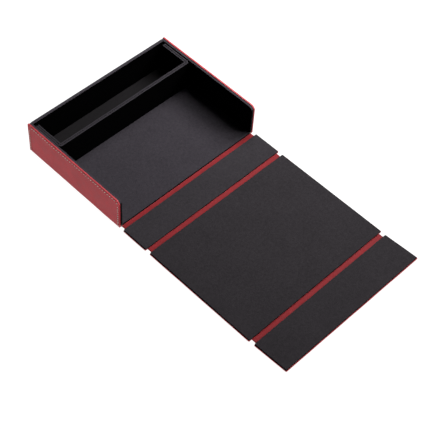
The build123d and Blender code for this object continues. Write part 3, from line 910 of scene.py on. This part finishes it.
# Top faces take the divider copy, lightened as painted light; the upright faces take the near-black wall copy as
# painted shade.
place(
    finish_mesh("divider_suede", V, F, [LINING_RIDGE_PAINTED_LIGHT, LINING_WALL_PAINTED_SHADE],
                lambda c, n: np.where((n[:, 2] > 0.75) & (c[:, 2] > DIV_TOP - 0.20), 0, 1), sharp=55),
    "divider", "black_lining", "divider_lining",
)


# ---------------------------------------------------------------------------
# Lid panels: red leather below, black lining over the top and round the edges
# ---------------------------------------------------------------------------
def tilted(P):
    """From the flap's own flat plane, counted from its hinge axis, to its rest."""
    y, z = P[:, 1] - HINGE_3[0], P[:, 2] - HINGE_3[1]
    return np.column_stack([
        P[:, 0],
        HINGE_3[0] + y * math.cos(FLAP_TILT) + z * math.sin(FLAP_TILT),
        HINGE_3[1] - y * math.sin(FLAP_TILT) + z * math.cos(FLAP_TILT),
    ])


def panel(name, half, near, far, body, seed, lining, tilt=False):
    a, b = (-half, half), (far, near)
    # lining
    t = PANEL_T
    rings = [(i, t) for i in (2.4, 1.7, 1.1, 0.6, 0.4)]
    rings += roll(0.32, t, 0.03, t - 0.30, 5)
    rings += [(0.03, 1.8), (0.03, 1.3), (0.06, PANEL_SKIN)]
    rings += [(0.4, PANEL_SKIN), (0.4, t - LINING)]
    V, F, O, T, rings = plate(a, b, (1.0,) * 4, 2.8, rings, 2.0, 8, (1, 4))
    flat = V[:, :2].copy()
    up = np.clip((V[:, 2] - 1.6) / 0.8, 0, 1)
    up[T >= len(rings) - 2] = 0
    V[:, 2] += up * (0.04 * waves(flat, 48.0, seed) + 0.012 * waves(flat, 8.0, seed + 1) - 0.03)
    inset = np.array([rings[q][0] for q in T])
    rim = np.clip(1 - inset / 1.2, 0, 1)
    wander = (0.07 * waves(flat, 30.0, seed + 2) - 0.05) * rim
    V[:, :2] = flat + O * wander[:, None]
    if tilt:
        V = tilted(V)

    def pick(c, n):
        # Top faces take the panel's lining copy; the edges take the near-black rim copy as painted shade.
        return np.where(n[:, 2] > 0.60, 0, 1)

    ob = finish_mesh(f"{name}_suede", V, F, [lining, LINING_RIM_PAINTED_SHADE], pick)
    place(ob, body, "black_lining", f"{name}_lining")
    # leather
    a = (-half - COVER_OUT, half + COVER_OUT)
    b = (far - (COVER_OUT if tilt else 0.0), near)
    rings = [(i, 0.0) for i in (2.2, 1.4, 0.7)] + roll(0.20, 0.0, 0.0, 0.20, 3)
    rings += [(0.0, 0.75), (0.0, 1.25)] + roll(0.0, 1.25, 0.16, 1.45, 3, "steep")
    rings += [(0.64, 1.45), (0.69, PANEL_SKIN), (1.6, PANEL_SKIN)]
    V, F, O, T, rings = plate(a, b, (0.9,) * 4, 2.8, rings, 2.0, 8, (1, 4))
    flat = V[:, :2].copy()
    low = (V[:, 2] < 0.3).astype(float)
    V[:, 2] += low * (0.03 + 0.02 * waves(flat, 40.0, seed + 3) + 0.008 * waves(flat, 9.0, seed + 4))
    inset = np.array([rings[q][0] for q in T])
    rim = np.clip(1 - inset / 1.0, 0, 1)
    wander = (0.05 * waves(flat, 26.0, seed + 5) - 0.03) * rim
    V[:, :2] = flat + O * wander[:, None]
    wear = rim * np.clip(0.6 + 0.5 * waves(flat, 11.0, seed + 6), 0, 1)
    if tilt:
        V = tilted(V)
    ob = finish_mesh(f"{name}_leather", V, F, [RED_LID], wear=wear)
    place(ob, body, "red_leather", f"{name}_cover")


panel("front_panel", 100.0, A_NEAR, A_FAR, "front_panel", 101, LINING_FRONT_PAINTED_LIGHT)
panel("lid_panel", 100.0, B_NEAR, B_FAR, "lid_panel", 111, LINING_LID)
panel("flap", HALF_C, C_NEAR, C_FAR - 0.1, "flap", 121, LINING_LID, tilt=True)


# ---------------------------------------------------------------------------
# Hinge strips: leather that bends between two panels
# ---------------------------------------------------------------------------
def strip(name, half, near, far, hinge, node, seed, tilt=False):
    near, far = near - 0.05, far + 0.05
    n = 20
    ys = np.linspace(near, far, n + 1)
    width = near - far
    u = (near - ys) / width
    # the leather rises a little where it goes under the panels' edges, and a
    # shallow crease runs along the bending line
    rise = 0.22 * np.exp(-u * width / 0.45) + 0.22 * np.exp(-(1 - u) * width / 0.45)
    crease = 0.07 * np.exp(-(((ys - hinge[0]) / 0.7) ** 2))
    top = 1.0 + rise * 0.9 - crease
    profile = [(y, z) for y, z in zip(ys, top)]
    profile += [(y, 0.03) for y in ys[::-1]]
    xs = np.concatenate([[-half, -half + 0.15, -half + 0.5], np.linspace(-half + 1.4, half - 1.4, 90), [half - 0.5, half - 0.15, half]])
    V, F = bar(profile, xs)
    up = (V[:, 2] > 0.5).astype(float)
    V[:, 2] += up * (0.04 * waves(V[:, :2], 14.0, seed) + 0.02 * waves(V[:, :2], 3.5, seed + 1) - 0.03)
    # soft cut ends
    end = np.clip((np.abs(V[:, 0]) - (half - 0.5)) / 0.5, 0, 1)
    middle = np.where(V[:, 2] > 0.5, 1.0, 0.0)
    V[:, 2] += np.where(middle > 0, -0.25, 0.18) * end ** 2
    V[:, 0] += np.sign(V[:, 0]) * 0.08 * (waves(V[:, 1], 3.0, seed + 2) - 1) * (end > 0.2)
    if tilt:
        w = np.clip((hinge[0] + 0.9 - V[:, 1]) / 1.8, 0, 1)[:, None]
        w = w * w * (3 - 2 * w)
        V = V * (1 - w) + tilted(V) * w
    wear = np.clip(0.35 + 0.5 * waves(V[:, :2], 6.0, seed + 3), 0, 1)
    ob = finish_mesh(f"{name}_leather", V, F, [RED_STRIP], wear=wear, sharp=60)
    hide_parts(node)
    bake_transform(ob)
    return ob


strip("hinge_strip_front", 97.4, Y_FRONT, A_NEAR, HINGE_1, "hinge_strip_front", 131)
strip("hinge_strip_lid", 97.4, A_FAR, B_NEAR, HINGE_2, "hinge_strip_lid", 141)
strip("hinge_strip_flap", 96.95, B_FAR, C_NEAR, HINGE_3, "hinge_strip_flap", 151, tilt=True)

# ---------------------------------------------------------------------------
# Stage: white table, lights, camera
# ---------------------------------------------------------------------------
me = bpy.data.meshes.new("table_top")
me.from_pydata([(-6, -6, -0.0002), (6, -6, -0.0002), (6, 6, -0.0002), (-6, 6, -0.0002)], [], [(0, 1, 2, 3)])
table_top = bpy.data.objects.new("table_top", me)
scene.collection.objects.link(table_top)
white = bpy.data.materials.new("table_white")
white.use_nodes = True
wb = white.node_tree.nodes["Principled BSDF"]
wb.inputs["Base Color"].default_value = (0.25, 0.25, 0.25, 1)
wb.inputs["Roughness"].default_value = 0.9
wb.inputs["Specular IOR Level"].default_value = 0.1
wb.inputs["Emission Color"].default_value = (1, 1, 1, 1)
wb.inputs["Emission Strength"].default_value = 1.0
me.materials.append(white)

world = bpy.data.worlds.new("studio")
scene.world = world
world.use_nodes = True
bg = world.node_tree.nodes["Background"]
bg.inputs["Color"].default_value = (0.9, 0.93, 1.0, 1)
bg.inputs["Strength"].default_value = 0.005
seen = world.node_tree.nodes.new("ShaderNodeBackground")
seen.inputs["Color"].default_value = (1, 1, 1, 1)
seen.inputs["Strength"].default_value = 1.0
path = world.node_tree.nodes.new("ShaderNodeLightPath")
mixer = world.node_tree.nodes.new("ShaderNodeMixShader")
out = world.node_tree.nodes["World Output"]
world.node_tree.links.new(path.outputs["Is Camera Ray"], mixer.inputs[0])
world.node_tree.links.new(bg.outputs[0], mixer.inputs[1])
world.node_tree.links.new(seen.outputs[0], mixer.inputs[2])
world.node_tree.links.new(mixer.outputs[0], out.inputs["Surface"])


def softbox(name, at, aim, size, power, colour=(1, 1, 1)):
    light = bpy.data.lights.new(name, "AREA")
    light.shape = "RECTANGLE"
    light.size, light.size_y = size
    light.energy = power
    light.color = colour
    ob = bpy.data.objects.new(name, light)
    ob.location = at
    ob.rotation_euler = (Vector(aim) - Vector(at)).to_track_quat("-Z", "Y").to_euler()
    ob.visible_camera = False
    scene.collection.objects.link(ob)
    return ob


def studio(name, azimuth, elevation, distance, power, spread=0.35):
    """A softbox seen from the lid at an azimuth (0 in front, 90 to the right) and
    an elevation in degrees."""
    a, e = math.radians(azimuth), math.radians(elevation)
    aim = Vector((0.0, -0.10, 0.0))
    way = Vector((math.sin(a) * math.cos(e), -math.cos(a) * math.cos(e), math.sin(e)))
    return softbox(name, aim + way * distance, aim, (spread * distance, spread * distance), power)


LIGHTS = [
    studio("key", 45, 40, 3.0, 15.9),
    studio("key_low", 45, 25, 3.0, 7.2),
    studio("right", 90, 45, 1.0, 4.65),
    studio("right_near", 120, 55, 0.5, 0.70),
]

camera_data = bpy.data.cameras.new("camera")
camera_data.sensor_width = 36.0
camera_data.lens = 101.527
camera = bpy.data.objects.new("camera", camera_data)
scene.collection.objects.link(camera)
right = Vector((0.71169373, -0.70088323, 0.04748406))
up = Vector((0.53265355, 0.58246792, 0.61401247))
forward = Vector((0.45800898, 0.41169627, -0.78786671))
spot = Vector((-0.60637, -0.66167, 1.01928))
camera.matrix_world = Matrix((
    (right.x, up.x, -forward.x, spot.x),
    (right.y, up.y, -forward.y, spot.y),
    (right.z, up.z, -forward.z, spot.z),
    (0, 0, 0, 1),
))
scene.camera = camera

scene.view_settings.view_transform = "Standard"
